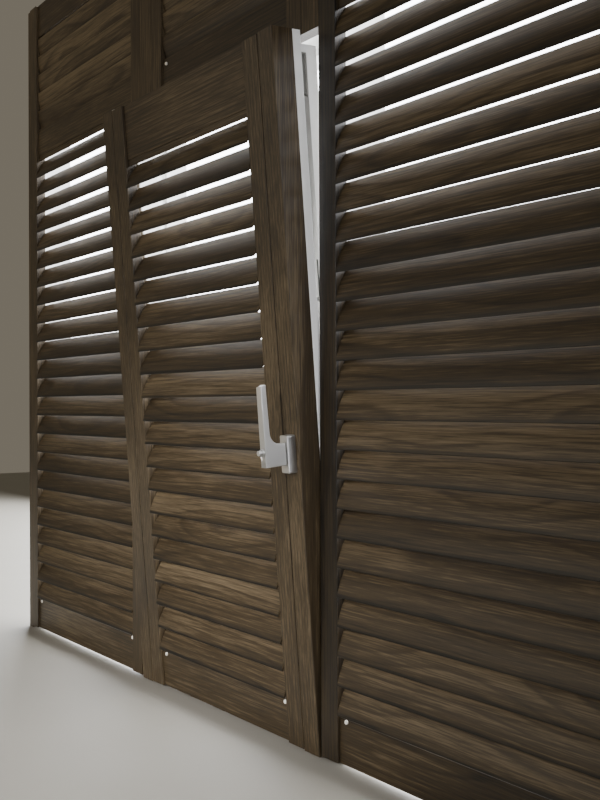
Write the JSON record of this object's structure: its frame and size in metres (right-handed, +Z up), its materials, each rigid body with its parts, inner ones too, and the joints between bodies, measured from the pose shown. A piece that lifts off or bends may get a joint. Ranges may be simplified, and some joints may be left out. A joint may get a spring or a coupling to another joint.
{
  "type": "louvred window shutters",
  "caption": "Dark stained wooden louvred shutters for a wide window, with fixed panels at the sides and top and a tilt-open middle unit on a white sash.",
  "frame": {"origin": "centre of the sill bar's underside, in the middle of the window", "axes": "+X right seen from the room, +Y from the room to the window, +Z up"},
  "size_m": [2.202, 0.2463, 1.882],
  "materials": {
    "stained_wood": "dark walnut stain under satin varnish",
    "white_window": "white, semi-gloss",
    "nylon": "white nylon",
    "zinc_steel": "zinc plated",
    "bar_aluminium": "mill finish",
    "satin_nickel": "satin nickel"
  },
  "bodies": {
    "frame": {"left_panel_stiles": "stained_wood", "left_panel_rails": "stained_wood", "left_panel_slats": "stained_wood", "right_panel_stiles": "stained_wood", "right_panel_rails": "stained_wood", "right_panel_slats": "stained_wood", "upper_panel_strips": "stained_wood", "upper_panel_stiles": "stained_wood", "upper_panel_rails": "stained_wood", "upper_panel_slats": "stained_wood", "side_board_left": "stained_wood", "side_board_right": "stained_wood", "head_board": "stained_wood", "window_posts": "white_window", "window_jambs": "white_window", "window_cross_bar": "white_window", "window_sill_bar": "white_window", "fixed_panel_bumpers": "nylon", "tilt_hinge_brackets": "zinc_steel"},
    "tilting_unit": {"sash_stile_left": "white_window", "sash_stile_right": "white_window", "sash_top_rail": "white_window", "sash_bottom_rail": "white_window", "sash_lock_strip": "zinc_steel", "side_strip_left": "stained_wood", "side_strip_right": "stained_wood", "panel_pivot_plates": "zinc_steel", "handle_rosette": "satin_nickel"},
    "swing_panel": {"swing_panel_stile_left": "stained_wood", "swing_panel_stile_right": "stained_wood", "swing_panel_bottom_rail": "stained_wood", "swing_panel_top_rail": "stained_wood", "swing_panel_bumpers": "nylon", "panel_pivot_bushes": "nylon"},
    "handle": {"handle_grip": "satin_nickel", "lock_cylinder": "satin_nickel"},
    "lock_button": {"lock_button": "satin_nickel"},
    "stay_arm": {"stay_arm": "zinc_steel"},
    "tilt_bar": {"tilt_bar": "bar_aluminium"},
    "slat_01": {"slat_01": "stained_wood"},
    "slat_02": {"slat_02": "stained_wood"},
    "slat_03": {"slat_03": "stained_wood"},
    "slat_04": {"slat_04": "stained_wood"},
    "slat_05": {"slat_05": "stained_wood"},
    "slat_06": {"slat_06": "stained_wood"},
    "slat_07": {"slat_07": "stained_wood"},
    "slat_08": {"slat_08": "stained_wood"},
    "slat_09": {"slat_09": "stained_wood"},
    "slat_10": {"slat_10": "stained_wood"},
    "slat_11": {"slat_11": "stained_wood"},
    "slat_12": {"slat_12": "stained_wood"},
    "slat_13": {"slat_13": "stained_wood"},
    "slat_14": {"slat_14": "stained_wood"},
    "slat_15": {"slat_15": "stained_wood"},
    "slat_16": {"slat_16": "stained_wood"},
    "slat_17": {"slat_17": "stained_wood"},
    "slat_18": {"slat_18": "stained_wood"},
    "slat_19": {"slat_19": "stained_wood"},
    "slat_20": {"slat_20": "stained_wood"},
    "slat_21": {"slat_21": "stained_wood"}
  },
  "joints": [
    {"name": "unit_tilt", "type": "hinge", "parent": "frame", "child": "tilting_unit", "pos_m": [0, -0.037, 0.017], "axis": [1, 0, 0], "range_deg": [-4.4, 0]},
    {"name": "stay_swing", "type": "hinge", "parent": "frame", "child": "stay_arm", "pos_m": [-0.3, -0.039, 1.3895], "axis": [0, 0, -1], "range_deg": [-16.88, 0]},
    {"name": "panel_swing", "type": "hinge", "parent": "tilting_unit", "child": "swing_panel", "pos_m": [-0.2995, -0.14263, 0.68587], "axis": [0, 0.0767, -0.9971], "range_deg": [0, 95]},
    {"name": "handle_turn", "type": "hinge", "parent": "tilting_unit", "child": "handle", "pos_m": [0.331, -0.14013, 0.58175], "axis": [0, -0.9971, -0.0767], "range_deg": [0, 180]},
    {"name": "lock_press", "type": "slide", "parent": "handle", "child": "lock_button", "axis": [0, 0.9971, 0.0767], "range_m": [0, 0.004], "stiffness_N_per_m": 300, "springref_m": -0.003},
    {"name": "slat_01_turn", "type": "hinge", "parent": "swing_panel", "child": "slat_01", "pos_m": [0, -0.0913, 0.12315], "axis": [-1, 0, 0], "range_deg": [-25, 119]},
    {"name": "slat_02_turn", "type": "hinge", "parent": "swing_panel", "child": "slat_02", "pos_m": [0, -0.09549, 0.17754], "axis": [-1, 0, 0], "range_deg": [-25, 119]},
    {"name": "slat_03_turn", "type": "hinge", "parent": "swing_panel", "child": "slat_03", "pos_m": [0, -0.09967, 0.23192], "axis": [-1, 0, 0], "range_deg": [-25, 119]},
    {"name": "slat_04_turn", "type": "hinge", "parent": "swing_panel", "child": "slat_04", "pos_m": [0, -0.10386, 0.28631], "axis": [-1, 0, 0], "range_deg": [-25, 119]},
    {"name": "slat_05_turn", "type": "hinge", "parent": "swing_panel", "child": "slat_05", "pos_m": [0, -0.10804, 0.3407], "axis": [-1, 0, 0], "range_deg": [-25, 119]},
    {"name": "slat_06_turn", "type": "hinge", "parent": "swing_panel", "child": "slat_06", "pos_m": [0, -0.11223, 0.39509], "axis": [-1, 0, 0], "range_deg": [-25, 119]},
    {"name": "slat_07_turn", "type": "hinge", "parent": "swing_panel", "child": "slat_07", "pos_m": [0, -0.11641, 0.44948], "axis": [-1, 0, 0], "range_deg": [-25, 119]},
    {"name": "slat_08_turn", "type": "hinge", "parent": "swing_panel", "child": "slat_08", "pos_m": [0, -0.1206, 0.50387], "axis": [-1, 0, 0], "range_deg": [-25, 119]},
    {"name": "slat_09_turn", "type": "hinge", "parent": "swing_panel", "child": "slat_09", "pos_m": [0, -0.12478, 0.55826], "axis": [-1, 0, 0], "range_deg": [-25, 119]},
    {"name": "slat_10_turn", "type": "hinge", "parent": "swing_panel", "child": "slat_10", "pos_m": [0, -0.12897, 0.61265], "axis": [-1, 0, 0], "range_deg": [-25, 119]},
    {"name": "slat_11_turn", "type": "hinge", "parent": "swing_panel", "child": "slat_11", "pos_m": [0, -0.13315, 0.66704], "axis": [-1, 0, 0], "range_deg": [-25, 119]},
    {"name": "slat_12_turn", "type": "hinge", "parent": "swing_panel", "child": "slat_12", "pos_m": [0, -0.13734, 0.72143], "axis": [-1, 0, 0], "range_deg": [-25, 119]},
    {"name": "slat_13_turn", "type": "hinge", "parent": "swing_panel", "child": "slat_13", "pos_m": [0, -0.14152, 0.77582], "axis": [-1, 0, 0], "range_deg": [-25, 119]},
    {"name": "slat_14_turn", "type": "hinge", "parent": "swing_panel", "child": "slat_14", "pos_m": [0, -0.14571, 0.83021], "axis": [-1, 0, 0], "range_deg": [-25, 119]},
    {"name": "slat_15_turn", "type": "hinge", "parent": "swing_panel", "child": "slat_15", "pos_m": [0, -0.14989, 0.8846], "axis": [-1, 0, 0], "range_deg": [-25, 119]},
    {"name": "slat_16_turn", "type": "hinge", "parent": "swing_panel", "child": "slat_16", "pos_m": [0, -0.15408, 0.93898], "axis": [-1, 0, 0], "range_deg": [-25, 119]},
    {"name": "slat_17_turn", "type": "hinge", "parent": "swing_panel", "child": "slat_17", "pos_m": [0, -0.15826, 0.99337], "axis": [-1, 0, 0], "range_deg": [-25, 119]},
    {"name": "slat_18_turn", "type": "hinge", "parent": "swing_panel", "child": "slat_18", "pos_m": [0, -0.16245, 1.04776], "axis": [-1, 0, 0], "range_deg": [-25, 119]},
    {"name": "slat_19_turn", "type": "hinge", "parent": "swing_panel", "child": "slat_19", "pos_m": [0, -0.16663, 1.10215], "axis": [-1, 0, 0], "range_deg": [-25, 119]},
    {"name": "slat_20_turn", "type": "hinge", "parent": "swing_panel", "child": "slat_20", "pos_m": [0, -0.17082, 1.15654], "axis": [-1, 0, 0], "range_deg": [-25, 119]},
    {"name": "slat_21_turn", "type": "hinge", "parent": "swing_panel", "child": "slat_21", "pos_m": [0, -0.175, 1.21093], "axis": [-1, 0, 0], "range_deg": [-25, 119]},
    {"name": "tilt_bar_turn", "type": "hinge", "parent": "slat_01", "child": "tilt_bar", "pos_m": [0.2984, -0.08661, 0.1194], "axis": [-1, 0, 0], "range_deg": [-119, 25]}
  ],
  "couplings": [
    {"joint": "stay_swing", "follows": "unit_tilt", "ratio": 3.835},
    {"joint": "slat_02_turn", "follows": "slat_01_turn", "ratio": 1},
    {"joint": "slat_03_turn", "follows": "slat_01_turn", "ratio": 1},
    {"joint": "slat_04_turn", "follows": "slat_01_turn", "ratio": 1},
    {"joint": "slat_05_turn", "follows": "slat_01_turn", "ratio": 1},
    {"joint": "slat_06_turn", "follows": "slat_01_turn", "ratio": 1},
    {"joint": "slat_07_turn", "follows": "slat_01_turn", "ratio": 1},
    {"joint": "slat_08_turn", "follows": "slat_01_turn", "ratio": 1},
    {"joint": "slat_09_turn", "follows": "slat_01_turn", "ratio": 1},
    {"joint": "slat_10_turn", "follows": "slat_01_turn", "ratio": 1},
    {"joint": "slat_11_turn", "follows": "slat_01_turn", "ratio": 1},
    {"joint": "slat_12_turn", "follows": "slat_01_turn", "ratio": 1},
    {"joint": "slat_13_turn", "follows": "slat_01_turn", "ratio": 1},
    {"joint": "slat_14_turn", "follows": "slat_01_turn", "ratio": 1},
    {"joint": "slat_15_turn", "follows": "slat_01_turn", "ratio": 1},
    {"joint": "slat_16_turn", "follows": "slat_01_turn", "ratio": 1},
    {"joint": "slat_17_turn", "follows": "slat_01_turn", "ratio": 1},
    {"joint": "slat_18_turn", "follows": "slat_01_turn", "ratio": 1},
    {"joint": "slat_19_turn", "follows": "slat_01_turn", "ratio": 1},
    {"joint": "slat_20_turn", "follows": "slat_01_turn", "ratio": 1},
    {"joint": "slat_21_turn", "follows": "slat_01_turn", "ratio": 1},
    {"joint": "tilt_bar_turn", "follows": "slat_01_turn", "ratio": -1}
  ]
}
